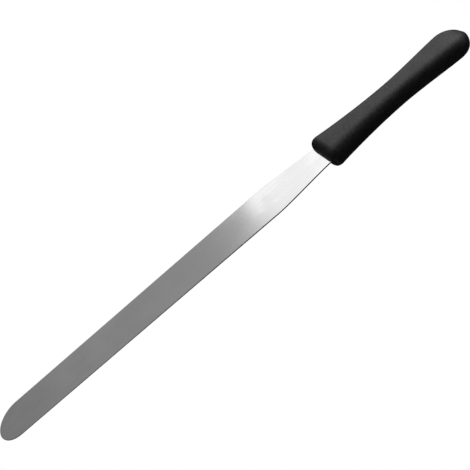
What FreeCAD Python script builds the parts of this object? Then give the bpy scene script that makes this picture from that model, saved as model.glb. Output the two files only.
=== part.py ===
import FreeCAD, Part
import math
import os

# Straight icing spatula: a long flexible steel blade with a round tip, moulded into a plastic handle.
# Millimetres. +X runs from the blade's tip to the handle's butt and +Z is up from the blade's flat side.
# The origin is below the middle of the whole length, on the plane that the handle's underside rests on.

# ---- blade ----
blade_length = 300.0          # from the tip to the front of the handle
tip_end_width = 33.9          # the straight sides spread very slightly from the tip ...
shoulder_width = 36.7         # ... to the shoulder
shoulder_start = 248.0        # distance from the tip at which the sides start to draw in
neck_width = 25.4             # width where the blade enters the handle
shoulder_pull = 14.0          # how far the shoulder's curve follows the side, and the neck, before it turns
neck_start_inset = 4.0        # the shoulder's curve ends at this depth inside the handle
neck_end_inset = 5.0          # and the neck narrows to the tang from here
neck_thickness = 1.2          # thickness of the sheet that the blade is cut from
tip_thickness = 0.8           # the blade is ground thinner towards its tip, on both sides
ground_end = 291.0            # distance from the tip at which the grinding runs out
edge_round = 0.35             # radius on the edges of the ground blade

# ---- tang, the part of the blade inside the handle ----
tang_width = 11.0
tang_end_inset = 112.0        # depth of the tang's end inside the handle
tang_step = 7.0               # length over which the neck narrows to the tang
anchor_radius = 2.5
anchor_insets = [34.0, 96.0]  # depths of the two holes that the core flows through

# ---- handle ----
handle_length = 134.0
nose_width = 35.8
waist_width = 23.2
butt_width = 31.4
nose_thickness = 17.7
waist_thickness = 14.7
butt_thickness = 15.4
waist_at = 0.508              # place of the waist, as a share of the handle's length
butt_at = 0.969               # place of the widest part of the butt
nose_flare_power = 1.8        # how fast the nose's flare dies away towards the waist
nose_plan_depth = 10.1        # length over which the nose rounds off, seen from above
nose_plan_power = 4.35        # a high power gives square shoulders
nose_side_depth = 5.7         # the same, seen from the side
nose_side_power = 1.9
butt_plan_depth = 15.0
butt_plan_power = 1.94
butt_side_depth = 19.5
butt_side_power = 2.5
end_flat = 0.1                # the nose and the butt are cut flat this far inside the handle's length

# ---- core, the inner moulding round the tang ----
core_start = 15.0             # depth inside the handle
core_end = 121.0
core_width = 17.0
core_thickness = 8.6
core_corner = 3.5

# ---- places worked out from the dimensions ----
total_length = blade_length + handle_length
tip_x = -total_length / 2
handle_x = tip_x + blade_length


def line(start, end):
    return Part.LineSegment(start, end).toShape()


def bezier(points):
    curve = Part.BezierCurve()
    curve.setPoles(points)
    return curve.toShape()


def mirrored(points):
    # The same points on the other side of the blade's middle line.
    return [FreeCAD.Vector(p.x, -p.y, p.z) for p in points]


def blade_outline():
    # One side is drawn from the tip arc to the tang's end, and the other side mirrors it.
    tip_half = tip_end_width / 2
    shoulder_half = shoulder_width / 2
    neck_half = neck_width / 2
    tang_half = tang_width / 2
    slope = (shoulder_half - tip_half) / shoulder_start
    lean = math.atan(slope)
    tip_radius = tip_half / (math.sqrt(1 + slope**2) - slope)
    arc_end = FreeCAD.Vector(tip_x + tip_radius * (1 - math.sin(lean)), tip_radius * math.cos(lean), 0)
    side_end = FreeCAD.Vector(tip_x + shoulder_start, shoulder_half, 0)
    neck_start = FreeCAD.Vector(handle_x + neck_start_inset, neck_half, 0)
    shoulder = [side_end,
                FreeCAD.Vector(side_end.x + shoulder_pull, shoulder_half + slope * shoulder_pull, 0),
                FreeCAD.Vector(neck_start.x - shoulder_pull, neck_half, 0),
                neck_start]
    neck_end = FreeCAD.Vector(handle_x + neck_end_inset, neck_half, 0)
    tang_start = FreeCAD.Vector(neck_end.x + tang_step, tang_half, 0)
    step = [neck_end,
            FreeCAD.Vector(neck_end.x + tang_step / 2, neck_half, 0),
            FreeCAD.Vector(neck_end.x + tang_step / 2, tang_half, 0),
            tang_start]
    tang_arc = FreeCAD.Vector(handle_x + tang_end_inset - tang_half, tang_half, 0)
    tip = Part.Arc(mirrored([arc_end])[0], FreeCAD.Vector(tip_x, 0, 0), arc_end).toShape()
    end = Part.Arc(tang_arc, FreeCAD.Vector(tang_arc.x + tang_half, 0, 0), mirrored([tang_arc])[0]).toShape()
    edges = [tip, end]
    for side in (list, mirrored):
        edges.append(line(*side([arc_end, side_end])))
        edges.append(bezier(side(shoulder)))
        edges.append(line(*side([neck_start, neck_end])))
        edges.append(bezier(side(step)))
        edges.append(line(*side([tang_start, tang_arc])))
    return Part.Wire(Part.__sortEdges__(edges))


def grinding_wedge():
    # The metal that is ground off above the blade: nothing at ground_end, and the most at the tip.
    top = neck_thickness / 2
    depth = (neck_thickness - tip_thickness) / 2
    beyond = 5.0
    run_out = FreeCAD.Vector(tip_x + ground_end, -shoulder_width, top)
    drop = depth * (ground_end + beyond) / ground_end
    low = FreeCAD.Vector(tip_x - beyond, -shoulder_width, top - drop)
    high = FreeCAD.Vector(tip_x - beyond, -shoulder_width, top)
    profile = Part.Face(Part.makePolygon([run_out, low, high, run_out]))
    return profile.extrude(FreeCAD.Vector(0, 2 * shoulder_width, 0))


def rounded(sheet):
    # Rounds the long edges between the sheet's flats and its narrow sides.
    rim = [e for e in sheet.Edges if e.BoundBox.ZLength < neck_thickness / 2 and e.BoundBox.XLength > 0.01]
    return sheet.makeFillet(edge_round, rim)


def make_blade():
    sheet = Part.Face(blade_outline()).extrude(FreeCAD.Vector(0, 0, neck_thickness))
    sheet.translate(FreeCAD.Vector(0, 0, -neck_thickness / 2))
    beyond_grinding = Part.makeBox(total_length, 2 * shoulder_width, 2 * neck_thickness,
                                   FreeCAD.Vector(tip_x + ground_end, -shoulder_width, -neck_thickness))
    above = grinding_wedge()
    below = above.mirror(FreeCAD.Vector(0, 0, 0), FreeCAD.Vector(0, 0, 1))
    ground = rounded(sheet.cut(beyond_grinding).cut([above, below]))
    neck_and_tang = rounded(sheet.common(beyond_grinding))
    blade = ground.fuse(neck_and_tang)
    for inset in anchor_insets:
        centre = FreeCAD.Vector(handle_x + inset, 0, -neck_thickness)
        blade = blade.cut(Part.makeCylinder(anchor_radius, 2 * neck_thickness, centre))
    return blade


def ease_in(start, middle, share):
    # From start to middle, quick at first and level on arrival.
    return middle + (start - middle) * (1 - share)**nose_flare_power


def ease_out(middle, end, share):
    # From middle to end, level at both.
    return middle + (end - middle) * share**2 * (3 - 2 * share)


def along_handle(share, nose, waist, butt):
    if share < waist_at:
        return ease_in(nose, waist, share / waist_at)
    return ease_out(waist, butt, min((share - waist_at) / (butt_at - waist_at), 1.0))


def rounding(distance, depth, power):
    # Share of the full size at a distance from an end that rounds off over depth.
    if distance >= depth:
        return 1.0
    return (1 - (1 - distance / depth)**power)**(1 / power)


def handle_half_sizes(inset):
    share = inset / handle_length
    left = handle_length - inset
    half_width = along_handle(share, nose_width, waist_width, butt_width) / 2
    half_thickness = along_handle(share, nose_thickness, waist_thickness, butt_thickness) / 2
    half_width *= rounding(inset, nose_plan_depth, nose_plan_power)
    half_width *= rounding(left, butt_plan_depth, butt_plan_power)
    half_thickness *= rounding(inset, nose_side_depth, nose_side_power)
    half_thickness *= rounding(left, butt_side_depth, butt_side_power)
    return half_width, half_thickness


def flat_oval(x, half_width, half_thickness):
    # A closed wire across the X axis: flat above and below, and a half circle on each side.
    def point(y, z):
        return FreeCAD.Vector(x, y, z)

    flat = half_width - half_thickness
    far = Part.Arc(point(flat, half_thickness), point(half_width, 0), point(flat, -half_thickness))
    near = Part.Arc(point(-flat, -half_thickness), point(-half_width, 0), point(-flat, half_thickness))
    below = line(point(flat, -half_thickness), point(-flat, -half_thickness))
    above = line(point(-flat, half_thickness), point(flat, half_thickness))
    return Part.Wire([far.toShape(), below, near.toShape(), above])


def handle_stations():
    # Depths of the sections inside the handle: close together at the rounded ends.
    steps = 8
    turns = [math.radians(90 * step / steps) for step in range(1, steps)]
    nose = [nose_plan_depth * (1 - math.cos(turn)) for turn in turns]
    butt = [handle_length - butt_side_depth * (1 - math.cos(turn)) for turn in reversed(turns)]
    middle_start = 2 * nose_plan_depth
    middle_end = handle_length - 1.3 * butt_side_depth
    count = 8
    middle = [middle_start + (middle_end - middle_start) * step / count for step in range(count + 1)]
    return [end_flat] + nose + middle + butt + [handle_length - end_flat]


def make_handle_body():
    sections = [flat_oval(handle_x + inset, *handle_half_sizes(inset)) for inset in handle_stations()]
    return Part.makeLoft(sections, True, False)


def make_core_body():
    length = core_end - core_start
    box = Part.makeBox(length, core_width, core_thickness,
                       FreeCAD.Vector(handle_x + core_start, -core_width / 2, -core_thickness / 2))
    long_edges = [e for e in box.Edges if e.BoundBox.XLength > length / 2]
    body = box.makeFillet(core_corner, long_edges)
    return body.makeFillet(core_corner / 2, [e for e in body.Edges if e.BoundBox.XLength < 0.01])


def main():
    os.makedirs("parts", exist_ok=True)
    # The handle's thickest section rests on the ground, and the blade lies in the handle's middle plane.
    up = FreeCAD.Vector(0, 0, max(handle_half_sizes(inset)[1] for inset in handle_stations()))
    blade = make_blade()
    handle_body = make_handle_body()
    core_body = make_core_body()
    for shape in (blade, handle_body, core_body):
        shape.translate(up)
    nodes = {
        "blade": blade,
        "handle_core": core_body.cut(blade),
        "handle_grip": handle_body.cut(core_body).cut(blade),
    }
    for name, shape in nodes.items():
        box = shape.BoundBox
        print(name, "valid", shape.isValid(), "solids", len(shape.Solids), "volume", round(shape.Volume, 1),
              "box", [round(v, 2) for v in (box.XMin, box.YMin, box.ZMin, box.XMax, box.YMax, box.ZMax)])
        shape.exportStep("parts/" + name + ".step")


main()
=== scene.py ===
import math

import bmesh
import bpy
import numpy as np
from mathutils import Matrix, Vector


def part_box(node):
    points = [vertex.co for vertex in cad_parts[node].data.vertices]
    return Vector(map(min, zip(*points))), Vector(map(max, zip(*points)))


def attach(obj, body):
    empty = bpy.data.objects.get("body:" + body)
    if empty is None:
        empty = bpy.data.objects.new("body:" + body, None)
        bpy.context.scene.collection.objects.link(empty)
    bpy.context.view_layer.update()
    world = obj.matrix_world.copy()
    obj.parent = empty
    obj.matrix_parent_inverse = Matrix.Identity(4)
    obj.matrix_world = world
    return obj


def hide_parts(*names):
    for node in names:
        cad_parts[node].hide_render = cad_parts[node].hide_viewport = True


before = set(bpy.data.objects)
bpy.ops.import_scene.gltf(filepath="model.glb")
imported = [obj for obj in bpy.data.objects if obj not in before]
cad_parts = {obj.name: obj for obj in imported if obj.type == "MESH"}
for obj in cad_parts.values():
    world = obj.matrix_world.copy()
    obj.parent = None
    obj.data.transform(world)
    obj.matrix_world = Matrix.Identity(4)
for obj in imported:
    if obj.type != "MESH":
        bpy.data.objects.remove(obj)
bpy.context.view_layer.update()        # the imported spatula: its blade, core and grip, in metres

mm = 0.001
bladeLow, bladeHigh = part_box("blade")
coreLow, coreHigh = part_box("handle_core")
gripLow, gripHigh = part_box("handle_grip")
middleZ = (bladeLow.z + bladeHigh.z) / 2      # the plane that the blade lies in
tipX = bladeLow.x
noseX = gripLow.x                             # the front of the handle
buttX = gripHigh.x
print("frame loaded, tool length", round((buttX - tipX) / mm, 1), "mm")


cameraSetup = {
    "lens": 50.76,                            # on a 36 mm sensor
    "azimuth": -1.03,                         # degrees round from looking along +Y
    "elevation": 36.08,
    "roll": 40.18,                            # degrees that the camera leans over
    "distance": 469.9 * mm,
    "aim": (-0.55 * mm, -1.24 * mm, -1.74 * mm),   # from the middle of the tool, on the blade's plane
}


def setCamera(setup):
    turn = math.radians(setup["azimuth"])
    rise = math.radians(setup["elevation"])
    lean = math.radians(setup["roll"])
    back = Vector((math.sin(turn) * math.cos(rise), -math.cos(turn) * math.cos(rise), math.sin(rise)))
    level = back.cross(Vector((0, 0, -1))).normalized()
    upright = back.cross(level)
    right = level * math.cos(lean) - upright * math.sin(lean)
    up = upright * math.cos(lean) + level * math.sin(lean)
    aim = Vector(((tipX + buttX) / 2, 0, middleZ)) + Vector(setup["aim"])
    camera = bpy.data.objects.new("mainCamera", bpy.data.cameras.new("mainCamera"))
    camera.data.lens = setup["lens"]
    camera.data.clip_start = 0.01
    camera.data.clip_end = 50
    camera.matrix_world = Matrix.Translation(aim + back * setup["distance"]) @ \
        Matrix((right, up, back)).transposed().to_4x4()
    bpy.context.scene.collection.objects.link(camera)
    bpy.context.scene.camera = camera


setCamera(cameraSetup)
print("camera set")


class Value:
    # one socket of a shader tree, which takes part in Python sums as a number would
    def __init__(self, graph, socket):
        self.graph = graph
        self.socket = socket

    def sum(self, operation, *terms):
        sockets = dict(enumerate(terms))
        return self.graph.node("ShaderNodeMath", {"operation": operation}, sockets)

    def __add__(self, other):
        return self.sum("ADD", self, other)

    def __sub__(self, other):
        return self.sum("SUBTRACT", self, other)

    def __rsub__(self, other):
        return self.sum("SUBTRACT", other, self)

    def __mul__(self, other):
        return self.sum("MULTIPLY", self, other)

    __radd__ = __add__
    __rmul__ = __mul__


class Graph:
    # a material's or the world's tree, emptied and filled again one node at a time
    def __init__(self, tree):
        self.tree = tree
        tree.nodes.clear()

    def node(self, kind, settings=None, sockets=None, output=0):
        made = self.tree.nodes.new(kind)
        for name, setting in (settings or {}).items():
            setattr(made, name, setting)
        for name, given in (sockets or {}).items():
            if isinstance(given, Value):
                self.tree.links.new(given.socket, made.inputs[name])
            else:
                made.inputs[name].default_value = given
        return Value(self, made.outputs[output])

    def place(self, stretch=(1, 1, 1), turn=(0, 0, 0)):
        # a point of the piece in metres, stretched and turned for a pattern
        point = self.node("ShaderNodeTexCoord", output="Object")
        return self.node("ShaderNodeMapping", {}, {"Vector": point, "Scale": stretch, "Rotation": turn})

    def noise(self, point, scale, detail=3.0, roughness=0.55):
        return self.node("ShaderNodeTexNoise", {}, {"Vector": point, "Scale": scale, "Detail": detail,
                                                    "Roughness": roughness})

    def between(self, value, low, high, newLow=0.0, newHigh=1.0):
        # value from low..high moved to newLow..newHigh, softly and never past either
        return self.node("ShaderNodeMapRange", {"interpolation_type": "SMOOTHSTEP"},
                         {"Value": value, "From Min": low, "From Max": high,
                          "To Min": newLow, "To Max": newHigh})

    def blend(self, factor, first, second):
        # factor 0 gives the first colour and 1 the second
        return self.node("ShaderNodeMix", {"data_type": "RGBA"}, {0: factor, 6: first, 7: second}, 2)

    def bump(self, height, strength, distance, under=None):
        sockets = {"Height": height, "Strength": strength, "Distance": distance}
        if under is not None:
            sockets["Normal"] = under
        return self.node("ShaderNodeBump", {}, sockets)

    def finish(self, kind, shader):
        end = self.tree.nodes.new(kind)
        self.tree.links.new(shader.socket, end.inputs["Surface"])


def newMaterial(name):
    material = bpy.data.materials.new(name)
    material.use_nodes = True
    return material, Graph(material.node_tree)


steelFinish = {
    "pale": (0.685, 0.685, 0.685, 1),
    "dull": (0.56, 0.56, 0.56, 1),         # where handling has left the steel a little cloudy
    "smooth": 0.145,                          # roughness along the best kept patches
    "rough": 0.20,
    "wornRange": (0.35, 0.7),                 # the part of the clouds' noise that the wear runs over
    "roughRange": (0.25, 0.65),
    "grainAlong": 45.0,                       # waves per metre of the grinding lines along the blade ...
    "grainAcross": 5200.0,                    # ... and across it
    "grainDepth": 0.004 * mm,
    "streakAlong": 9.0,                       # broader streaks of the same grinding
    "streakAcross": 620.0,
    "clouds": 26.0,                           # handled patches per metre
    "hairAlong": 14.0,
    "hairAcross": 950.0,
    "hairTurn": 2.5,                          # degrees that the scratches lean off the blade's length
    "hairCrest": (0.74, 0.78),                # the part of the noise that counts as a scratch
    "scratchDepth": 0.006 * mm,
}


def brushedSteel(finish):
    material, graph = newMaterial("brushedSteel")
    grainStretch = (finish["grainAlong"], finish["grainAcross"], finish["grainAcross"])
    streakStretch = (finish["streakAlong"], finish["streakAcross"], finish["streakAcross"])
    hairStretch = (finish["hairAlong"], finish["hairAcross"], finish["hairAcross"])
    grain = graph.noise(graph.place(grainStretch), 1, 4, 0.6)
    streaks = graph.noise(graph.place(streakStretch), 1, 3, 0.6)
    clouds = graph.noise(graph.place(), finish["clouds"], 4, 0.55)
    # a few long hairline scratches: only the crest of a stretched and slightly turned noise counts
    hair = graph.noise(graph.place(hairStretch, (0, 0, math.radians(finish["hairTurn"]))), 1, 1, 0.4)
    scratches = graph.between(hair, *finish["hairCrest"])
    worn = graph.between(clouds, *finish["wornRange"])
    wear = worn * 0.6 + streaks * 0.4
    roughness = graph.between(wear, *finish["roughRange"], finish["smooth"], finish["rough"])
    lines = graph.bump(grain, 0.35, finish["grainDepth"])
    lines = graph.bump(scratches, 0.5, finish["scratchDepth"], lines)
    shader = graph.node("ShaderNodeBsdfPrincipled", {}, {
        "Base Color": graph.blend(worn * 0.5 + streaks * 0.5, finish["pale"], finish["dull"]),
        "Metallic": 1.0,
        "Roughness": roughness,
        "Normal": lines,
    })
    graph.finish("ShaderNodeOutputMaterial", shader)
    return material


gripFinish = {
    "black": (0.0115, 0.0115, 0.0118, 1),
    "grey": (0.0175, 0.0175, 0.0178, 1),      # the dustier speckle of the texture
    "sheen": 0.265,                            # the fine texture swallows part of the plastic's shine
    "glints": 0.36,                           # how much shinier the crests of the texture are
    "matte": 0.50,
    "polished": 0.41,                         # where the hand has rubbed the texture down
    "speckle": 1900.0,                        # grains of the spark-eroded texture per metre
    "speckleDepth": 0.035 * mm,
    "mottle": 560.0,                          # blotches of the texture per metre
    "mottleDepth": 0.09 * mm,
    "waves": 95.0,                            # the faint sink of a thick moulding
    "waveDepth": 0.10 * mm,
    "rubbedRange": (0.38, 0.62),              # parts of the noises over which each change runs
    "greyRange": (0.42, 0.66),
    "glintRange": (0.40, 0.62),
}


def mouldedGrip(finish):
    material, graph = newMaterial("mouldedGrip")
    point = graph.place()
    speckle = graph.noise(point, finish["speckle"], 3, 0.6)
    mottle = graph.noise(point, finish["mottle"], 3, 0.6)
    waves = graph.noise(point, finish["waves"], 2, 0.5)
    crests = speckle * 0.4 + mottle * 0.6
    dust = graph.between(crests, *finish["greyRange"])
    rubbed = graph.between(mottle * 0.6 + waves * 0.4, *finish["rubbedRange"])
    texture = graph.bump(waves, 0.25, finish["waveDepth"])
    texture = graph.bump(mottle, 0.5, finish["mottleDepth"], texture)
    texture = graph.bump(speckle, 0.45, finish["speckleDepth"], texture)
    shader = graph.node("ShaderNodeBsdfPrincipled", {}, {
        "Base Color": graph.blend(dust, finish["black"], finish["grey"]),
        "Roughness": graph.between(rubbed, 0, 1, finish["polished"], finish["matte"]),
        "IOR": 1.49,
        "Specular IOR Level": finish["sheen"],
        "Coat Weight": graph.between(crests, *finish["glintRange"], 0, finish["glints"]),
        "Coat Roughness": finish["matte"],
        "Normal": texture,
    })
    graph.finish("ShaderNodeOutputMaterial", shader)
    return material


coreFinish = {
    "dark": (0.035, 0.035, 0.037, 1),
    "light": (0.055, 0.055, 0.057, 1),
    "roughness": 0.46,
    "flowAlong": 60.0,
    "flowAcross": 420.0,
    "flowDepth": 0.03 * mm,
}


def mouldedCore(finish):
    material, graph = newMaterial("mouldedCore")
    stretch = (finish["flowAlong"], finish["flowAcross"], finish["flowAcross"])
    flow = graph.noise(graph.place(stretch), 1, 4, 0.6)             # flow lines along the moulding
    shader = graph.node("ShaderNodeBsdfPrincipled", {}, {
        "Base Color": graph.blend(graph.between(flow, 0.3, 0.7), finish["dark"], finish["light"]),
        "Roughness": finish["roughness"],
        "Normal": graph.bump(flow, 0.4, finish["flowDepth"]),
    })
    graph.finish("ShaderNodeOutputMaterial", shader)
    return material


steel = brushedSteel(steelFinish)
gripBlack = mouldedGrip(gripFinish)
coreGrey = mouldedCore(coreFinish)
print("materials made")


def surfaceFromGrid(name, grid, material, bridged=None):
    # grid[row, column] holds the points. Columns close on themselves, and every cell becomes a face.
    # bridged marks the columns where the last row is also joined to the first, as in a hole's wall.
    rows, columns = grid.shape[:2]
    index = np.arange(rows * columns).reshape(rows, columns)
    ahead = np.roll(index, -1, axis=1)
    cells = np.stack([index[:-1], ahead[:-1], ahead[1:], index[1:]], axis=-1).reshape(-1, 4)
    if bridged is not None:
        both = bridged & np.roll(bridged, -1)
        wall = np.stack([index[-1], ahead[-1], ahead[0], index[0]], axis=-1)[both]
        cells = np.concatenate([cells, wall])
    mesh = bpy.data.meshes.new(name)
    mesh.from_pydata(grid.reshape(-1, 3).tolist(), [], cells.tolist())
    tidy = bmesh.new()
    tidy.from_mesh(mesh)
    bmesh.ops.remove_doubles(tidy, verts=tidy.verts, dist=0.0005 * mm)
    bmesh.ops.dissolve_degenerate(tidy, edges=tidy.edges, dist=0.0002 * mm)
    bmesh.ops.recalc_face_normals(tidy, faces=tidy.faces)
    tidy.to_mesh(mesh)
    tidy.free()
    mesh.polygons.foreach_set("use_smooth", np.ones(len(mesh.polygons), bool))
    mesh.materials.append(material)
    piece = bpy.data.objects.new(name, mesh)
    bpy.context.scene.collection.objects.link(piece)
    return piece


bladeShape = {
    "tipWidth": 33.9 * mm,                    # the sides spread very slightly from here ...
    "shoulderWidth": 36.7 * mm,               # ... to here
    "shoulderStart": 248 * mm,                # all lengths along the blade are from its tip
    "shoulderPull": 14 * mm,
    "neckWidth": 25.4 * mm,
    "neckStart": 304 * mm,
    "neckEnd": 305 * mm,
    "tangStart": 312 * mm,
    "tangWidth": 11 * mm,
    "tangEnd": 412 * mm,
    "holes": (334 * mm, 396 * mm),
    "holeRadius": 2.5 * mm,
    "groundEnd": 291 * mm,
    "tipThickness": 0.8 * mm,
    "neckThickness": 1.2 * mm,
    "roundness": 0.85,                        # the edge's radius as a share of half the thickness
    "heldBack": 0.35 * mm,                    # a ring this far in keeps the shading of the flat off the rim
}


def bezier(poles, count):
    # the poles weighed by (1-t)^3, 3t(1-t)^2, 3t^2(1-t) and t^3
    t = np.linspace(0, 1, count)[:, None]
    poles = np.array(poles)
    weights = ((1 - t)**3, 3 * t * (1 - t)**2, 3 * t**2 * (1 - t), t**3)
    return weights[0] * poles[0] + weights[1] * poles[1] + weights[2] * poles[2] + weights[3] * poles[3]


def arc(centre, radius, start, end, count):
    # centre + radius (cos, sin) from the start angle to the end angle
    turn = np.linspace(start, end, count)
    return np.stack([centre + radius * np.cos(turn), radius * np.sin(turn)], axis=1)


def bladeSide(shape):
    # One side of the outline, from the tip to the tang's end: a tangent arc, a straight side, a soft
    # shoulder, the neck, the step down to the tang, and the tang's round end.
    tipHalf, shoulderHalf = shape["tipWidth"] / 2, shape["shoulderWidth"] / 2
    neckHalf, tangHalf = shape["neckWidth"] / 2, shape["tangWidth"] / 2
    slope = (shoulderHalf - tipHalf) / shape["shoulderStart"]
    lean = math.atan(slope)
    tipRadius = tipHalf / (math.sqrt(1 + slope**2) - slope)
    tip = arc(tipRadius, tipRadius, math.pi, math.pi / 2 + lean, 41)
    start, pull = shape["shoulderStart"], shape["shoulderPull"]
    side = np.linspace(tip[-1], (start, shoulderHalf), 70)
    shoulder = bezier([(start, shoulderHalf), (start + pull, shoulderHalf + slope * pull),
                       (shape["neckStart"] - pull, neckHalf), (shape["neckStart"], neckHalf)], 41)
    middle = (shape["neckEnd"] + shape["tangStart"]) / 2
    step = bezier([(shape["neckEnd"], neckHalf), (middle, neckHalf),
                   (middle, tangHalf), (shape["tangStart"], tangHalf)], 17)
    holeTurns = np.cos(np.linspace(math.pi, 0, 17)) * shape["holeRadius"]
    stations = np.concatenate([np.linspace(shape["tangStart"], shape["tangEnd"] - tangHalf, 21)]
                              + [hole + holeTurns for hole in shape["holes"]])
    for hole in shape["holes"]:               # no plain station stands inside a hole
        inside = np.abs(stations - hole) < shape["holeRadius"] * 1.2
        onHole = np.isclose(np.abs(stations[:, None] - hole - holeTurns).min(axis=1), 0, atol=1e-9)
        stations = stations[~inside | onHole]
    stations = np.unique(np.round(stations, 9))
    tang = np.stack([stations, np.full(len(stations), tangHalf)], axis=1)
    end = arc(shape["tangEnd"] - tangHalf, tangHalf, math.pi / 2, 0, 13)
    parts = [tip, side[1:], shoulder[1:], step, tang[1:], end[1:]]
    return np.concatenate(parts), tipRadius


def halfThickness(along, shape):
    # the grinding makes the blade thinner in a straight taper from groundEnd to the tip
    share = np.clip(along / shape["groundEnd"], 0, 1)
    return (shape["tipThickness"] + (shape["neckThickness"] - shape["tipThickness"]) * share) / 2


def makeBlade(shape, material):
    # Across each point of the outline the surface runs from the middle line out over the top flat, round
    # the rim, and back over the bottom flat: flat points are middle + v (inset edge - middle), and rim
    # points are edge - rim (1 - cos f) outwards and half thickness - rim (1 - sin f) up.
    side, tipRadius = bladeSide(shape)
    edge = np.concatenate([side, (side * (1, -1))[-2:0:-1]])
    ahead = np.roll(edge, -1, axis=0) - np.roll(edge, 1, axis=0)
    outward = np.stack([-ahead[:, 1], ahead[:, 0]], axis=1)
    outward /= np.linalg.norm(outward, axis=1)[:, None]
    tangHalf, radius = shape["tangWidth"] / 2, shape["holeRadius"]
    thick = halfThickness(edge[:, 0], shape)
    rim = shape["roundness"] * thick
    middle = np.stack([np.clip(edge[:, 0], tipRadius, shape["tangEnd"] - tangHalf),
                       np.zeros(len(edge))], axis=1)
    inHole = np.zeros(len(edge), bool)
    for hole in shape["holes"]:
        near = np.abs(edge[:, 0] - hole) < radius + 0.001 * mm
        inHole |= near
        depth = np.sqrt(np.clip(radius**2 - (edge[near, 0] - hole)**2, 0, None))
        middle[near, 1] = depth * np.sign(edge[near, 1])
    inset = edge - outward * rim[:, None]
    held = inset - outward * shape["heldBack"]
    flat = [middle + (held - middle) * v for v in (0, 0.3, 0.6, 0.85, 1)] + [inset]
    top = [np.column_stack([row, halfThickness(row[:, 0], shape)]) for row in flat]
    turns = np.radians([75, 60, 45, 30, 15, 0])
    rounded = [np.column_stack([edge - outward * rim[:, None] * (1 - math.cos(f)),
                                thick - rim * (1 - math.sin(f))]) for f in turns]
    upper = np.array(top + rounded)
    lower = upper[::-1] * (1, 1, -1)
    grid = np.concatenate([upper, lower]) + (tipX, 0, middleZ)
    blade = surfaceFromGrid("bladeSkin", grid, material, inHole)
    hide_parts("blade")
    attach(blade, "root")
    return blade


blade = makeBlade(bladeShape, steel)
print("blade made,", len(blade.data.polygons), "faces")


gripShape = {
    "nose": (35.8 * mm, 17.7 * mm),           # width and thickness
    "waist": (23.5 * mm, 14.7 * mm),
    "butt": (31.4 * mm, 15.4 * mm),
    "waistAt": 0.508,                         # shares of the grip's length
    "buttAt": 0.969,
    "flarePower": 1.8,
    "noseDepths": (10.1 * mm, 6.9 * mm),      # over which the nose rounds off, in width and in thickness
    "nosePowers": (4.35, 1.9),
    "buttDepths": (15.0 * mm, 19.5 * mm),
    "buttPowers": (1.94, 2.5),
    "corner": 8.1 * mm,                       # rounding of the long edges
    "cornerPower": 2.08,
    "crown": 0.35 * mm,                       # the broad sides stand a little proud in the middle
    "parting": 0.05 * mm,                     # height of the mould's parting line
    "faceStart": 1.5 * mm,                    # the nose's end face begins this far inside the grip's length
    "lip": 0.1 * mm,                          # gap round the blade at the nose
    "coreSize": (17.0 * mm, 8.6 * mm),
    "coreCorner": 3.5 * mm,
    "coreRim": 1.75 * mm,
    "closeRings": 11.0 * mm,                  # the rings stand closer together in this much of the nose
    "crownFade": (8 * mm, 16 * mm),           # the crown dies away over this much at the nose and butt
    "lipDepth": 0.12 * mm,
    "grooveDepth": 0.5 * mm,
    "slotStart": 2.0 * mm,
    "slotGap": 0.01 * mm,
}


def gripHalves(inset, shape):
    # Half width and half thickness at a depth inside the grip: nose to waist dies away as
    # (1 - share)^power, waist to butt is a smooth step, and each end rounds off as (1 - u^p)^(1/p).
    length = buttX - noseX
    share = inset / length
    toWaist = np.clip(share / shape["waistAt"], 0, 1)
    toButt = np.clip((share - shape["waistAt"]) / (shape["buttAt"] - shape["waistAt"]), 0, 1)
    halves = []
    for side in (0, 1):
        nose, waist, butt = (shape[name][side] / 2 for name in ("nose", "waist", "butt"))
        half = waist + (nose - waist) * (1 - toWaist)**shape["flarePower"]
        half = half + (butt - waist) * toButt**2 * (3 - 2 * toButt)
        for depth, power, distance in (
                (shape["noseDepths"][side], shape["nosePowers"][side], inset),
                (shape["buttDepths"][side], shape["buttPowers"][side], length - inset)):
            u = np.clip(1 - distance / depth, 0, 1)
            half = half * (1 - u**power)**(1 / power)
        halves.append(half)
    return halves


def sectionPattern(power):
    # One turn round a section as four numbers a point: its share of the flats in y and z, its place
    # (cos^(2/power), sin^(2/power)) on the corner, and 1 on the parting line.
    turn = np.linspace(0, math.pi / 2, 13)
    cos, sin = np.cos(turn)**(2 / power), np.sin(turn)**(2 / power)
    cos[-1] = 0
    wide = np.linspace(1, -1, 15)[1:-1]
    tall = np.array([0.6, 0.25, 0.1, 0, -0.1, -0.25, -0.6])
    one, none = np.ones, np.zeros
    corners = [np.stack([one(13), one(13), cos, sin], axis=1)]
    flats = [np.stack([wide, one(13), none(13), one(13)], axis=1)]
    corners.append((corners[0] * (-1, 1, -1, 1))[::-1])
    flats.append(np.stack([-one(7), tall, -one(7), none(7)], axis=1))
    corners.append(corners[0] * (-1, -1, -1, -1))
    flats.append(flats[0] * (-1, -1, 1, -1))
    corners.append((corners[0] * (1, -1, 1, -1))[::-1])
    flats.append(flats[1] * (-1, -1, -1, 1))
    pattern = np.concatenate([part for pair in zip(corners, flats) for part in pair])
    parting = (pattern[:, 1] == 0).astype(float)
    return np.column_stack([pattern, parting])


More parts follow.
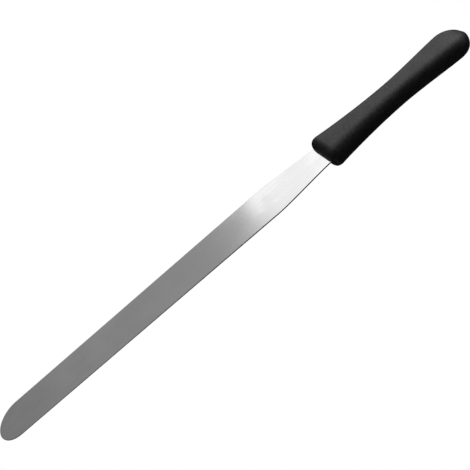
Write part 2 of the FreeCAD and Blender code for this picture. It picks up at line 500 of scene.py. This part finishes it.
def sections(x, halfWidth, halfThick, corner, pattern, crown=0.0, parting=0.0):
    # Rings across the X axis: y and z are the flats' shares plus the corner's round. The parting line adds
    # to y, and the crown takes z (1 - (crown / half thickness) (y / half width)^2).
    flatY, flatZ, cos, sin, seam = pattern.T
    x, halfWidth, halfThick, corner, crown = (
        np.broadcast_to(np.asarray(value, float), np.shape(x))[:, None]
        for value in (x, halfWidth, halfThick, corner, crown))
    y = flatY * (halfWidth - corner) + cos * corner
    z = flatZ * (halfThick - corner) + sin * corner
    across = y / np.maximum(halfWidth, mm / 1000)         # the floor keeps a pole from dividing by nothing
    z = z * (1 - crown / np.maximum(halfThick, mm / 1000) * across**2)
    y = y + seam * np.sign(flatY) * parting
    return np.stack(np.broadcast_arrays(x, y, z), axis=-1)


def cornerOf(halfWidth, halfThick, shape):
    return np.minimum(shape["corner"], 0.97 * np.minimum(halfWidth, halfThick))


def noseDepthAt(y, z, shape):
    # The depth at which the grip's section first holds the point (y, z), found by halving.
    low, high = np.zeros(np.shape(y)), np.full(np.shape(y), shape["faceStart"])
    for _ in range(40):
        inset = (low + high) / 2
        halfWidth, halfThick = gripHalves(inset, shape)
        corner = cornerOf(halfWidth, halfThick, shape)
        outY = np.clip(np.abs(y) - (halfWidth - corner), 0, None)
        outZ = np.clip(np.abs(z) - (halfThick - corner), 0, None)
        power = shape["cornerPower"]
        held = outY**power + outZ**power <= corner**power
        low, high = np.where(held, low, inset), np.where(held, inset, high)
    return high


def makeGrip(shape, material):
    # One closed surface: from the butt over the outside to the nose, in through the slot round the blade,
    # and round the cavity that the core fills.
    pattern = sectionPattern(shape["cornerPower"])
    length = buttX - noseX
    turn = np.radians(np.linspace(2, 90, 26))
    butt = length - shape["buttDepths"][1] * (1 - np.cos(turn))
    nose = shape["faceStart"] + (shape["closeRings"] - shape["faceStart"]) * np.linspace(1, 0, 17)**1.5
    insets = np.concatenate([[length], butt, np.linspace(butt[-1], nose[0], 62)[1:-1], nose])
    halfWidth, halfThick = gripHalves(insets, shape)
    noseFade, buttFade = shape["crownFade"]
    fade = np.clip(insets / noseFade, 0, 1) * np.clip((length - insets) / buttFade, 0, 1)
    fade = fade**2 * (3 - 2 * fade)
    outside = sections(insets, halfWidth, halfThick, cornerOf(halfWidth, halfThick, shape), pattern,
                       shape["crown"] * fade, shape["parting"])

    side, _ = bladeSide(bladeShape)
    neck = (side[:, 0] > bladeShape["shoulderStart"]) & (side[:, 0] < bladeShape["tangEnd"] - 12 * mm)
    reach = noseX - tipX
    slotThick = bladeShape["neckThickness"] / 2

    def slotRing(inset, gap):
        halfSlot = np.interp(reach + inset, side[neck, 0], side[neck, 1])
        return sections(inset, halfSlot + gap, slotThick + gap, 0.3 * mm, pattern)

    mouth = slotRing(np.array([0.0]), shape["lip"] + 0.1 * mm)[0]
    edge = outside[-1]
    share = np.linspace(0, 1, 12)[1:, None, None]
    face = edge + (mouth - edge) * share
    face[..., 0] = noseDepthAt(face[..., 1], face[..., 2], shape)
    lip = slotRing(np.array([0.0]), shape["lip"])
    lip[..., 0] = face[-1, :, 0] + shape["lipDepth"]
    groove = slotRing(np.array([0.0]), shape["lip"])
    groove[..., 0] = face[-1, :, 0] + shape["grooveDepth"]
    coreStart, coreEnd = coreLow.x - noseX, coreHigh.x - noseX
    slot = slotRing(np.linspace(shape["slotStart"], coreStart, 22), shape["slotGap"])

    coreWide, coreThick = (size / 2 for size in shape["coreSize"])
    turn = np.radians(np.linspace(0, 90, 7))
    fall = shape["coreRim"] * (1 - np.sin(turn))
    wallX = np.concatenate([coreStart + shape["coreRim"] * (1 - np.cos(turn)),
                            coreEnd - shape["coreRim"] * (1 - np.cos(turn[::-1]))])
    fall = np.concatenate([fall, fall[::-1]])
    cavity = sections(wallX, coreWide - fall, coreThick - fall, shape["coreCorner"] - fall, pattern)
    pole = cavity[-1:] * (1, 0, 0)
    grid = np.concatenate([outside, face, lip, groove, slot, cavity, pole]) + (noseX, 0, middleZ)
    grip = surfaceFromGrid("gripSkin", grid, material)
    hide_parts("handle_grip")
    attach(grip, "root")
    return grip


grip = makeGrip(gripShape, gripBlack)
print("grip made,", len(grip.data.polygons), "faces")


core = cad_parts["handle_core"]
core.data.materials.clear()
core.data.materials.append(coreGrey)
print("core finished")


studio = {
    "floorRadius": 3.2,                       # metres of flat pale floor round the tool
    "coveRadius": 1.2,                        # the curve from the floor up into the wall
    "roof": 4.0,
    "softboxPower": 9.8,
    "softboxSize": (1.385, 2.3),
    "softboxAt": (40, 45),                    # degrees round from +Y towards +X, and up
    "softboxRoll": 30,
    "softboxDistance": 1.6,
    "behind": 0.41,                           # brightness of the surround on the far side
    "sides": 0.35,
    "halo": 0.19,                             # the softbox's soft outer edge
    "overhead": 0.04,
    "card": 0.33,                             # a white card on the table, in front and to the left
    "front": 0.045,
    # where each of them comes in, from nothing to full, by direction: x right, y away, z up, each -1 to 1
    "behindFrom": (-0.7, 0.3),
    "leftFrom": (-0.55, -0.2),
    "leftShare": 0.55,                        # what is left of the brightness behind, far to the left
    "sidesFrom": ((0.42, 0.75), (-0.05, 0.3)),
    "aboveFrom": (0.08, 0.5),
    "haloFrom": (-0.05, 0.05),
    "overheadFrom": (0.62, 0.95),
    "cardFrom": ((0.02, -0.16), (-0.1, -0.5), (0, -0.3)),
}


def makeSweep(setup):
    # A round floor that curves up into a wall and closes in a dome: a profile turned about the Z axis.
    flat = setup["floorRadius"]
    cove = setup["coveRadius"]
    turn = np.radians(np.linspace(0, 90, 13))
    radii = np.concatenate([np.linspace(0, flat, 5)[:-1], flat + cove * np.sin(turn),
                            ((flat + cove) * np.cos(turn))[1:]])
    heights = np.concatenate([np.zeros(4), cove * (1 - np.cos(turn)),
                              (cove + (setup["roof"] - cove) * np.sin(turn))[1:]])
    around = np.linspace(0, 2 * math.pi, 64, endpoint=False)
    grid = np.stack([radii[:, None] * np.cos(around), radii[:, None] * np.sin(around),
                     np.broadcast_to(heights[:, None], (len(radii), 64))], axis=-1)
    material, graph = newMaterial("paleSweep")
    graph.finish("ShaderNodeOutputMaterial",
                 graph.node("ShaderNodeEmission", {}, {"Color": (1, 1, 1, 1), "Strength": 1.0}))
    sweep = surfaceFromGrid("studioSweep", grid, material)
    sweep.visible_diffuse = False             # a lit table: it shows white and throws nothing on the tool
    sweep.visible_glossy = False
    sweep.visible_transmission = False
    sweep.visible_shadow = False


def makeSoftbox(setup):
    turn, rise = (math.radians(angle) for angle in setup["softboxAt"])
    away = Vector((math.sin(turn) * math.cos(rise), math.cos(turn) * math.cos(rise), math.sin(rise)))
    lamp = bpy.data.lights.new("softbox", "AREA")
    lamp.shape = "RECTANGLE"
    lamp.size, lamp.size_y = setup["softboxSize"]
    lamp.energy = setup["softboxPower"]
    softbox = bpy.data.objects.new("softbox", lamp)
    facing = away.to_track_quat("Z", "Y").to_matrix().to_4x4()
    softbox.matrix_world = Matrix.Translation(away * setup["softboxDistance"]) @ facing @ \
        Matrix.Rotation(math.radians(setup["softboxRoll"]), 4, "Z")
    softbox.visible_camera = False
    bpy.context.scene.collection.objects.link(softbox)


def makeSurround(setup):
    # The room by direction: grey behind the tool and dimmer to the left, a halo right of the middle, a
    # panel beside the tool, a card low in front, and a faint fill.
    world = bpy.data.worlds.new("studioSurround")
    world.use_nodes = True
    bpy.context.scene.world = world
    graph = Graph(world.node_tree)
    direction = graph.node("ShaderNodeTexCoord", output="Generated")
    split = graph.node("ShaderNodeSeparateXYZ", {}, {"Vector": direction})
    x, y, z = (Value(graph, split.socket.node.outputs[axis]) for axis in range(3))
    sideX, sideZ = setup["sidesFrom"]
    cardX, cardY, cardZ = setup["cardFrom"]
    behind = graph.between(y, *setup["behindFrom"])
    left = graph.between(x, *setup["leftFrom"], setup["leftShare"], 1.0)
    beside = graph.between(x, *sideX) * graph.between(z, *sideZ)
    above = graph.between(z, *setup["aboveFrom"])
    halo = graph.between(x, *setup["haloFrom"], 0.0, setup["halo"])
    overhead = graph.between(z, *setup["overheadFrom"], 0.0, setup["overhead"])
    glow = behind * (left * setup["behind"] + halo) * above + overhead + beside * setup["sides"]
    card = graph.between(x, *cardX, 0.0, setup["card"]) * graph.between(y, *cardY) * graph.between(z, *cardZ)
    glow = glow + card + setup["front"]
    graph.finish("ShaderNodeOutputWorld", graph.node("ShaderNodeBackground", {}, {"Strength": glow}))


makeSweep(studio)
makeSoftbox(studio)
makeSurround(studio)
bpy.context.scene.view_settings.view_transform = "Standard"
print("studio set")
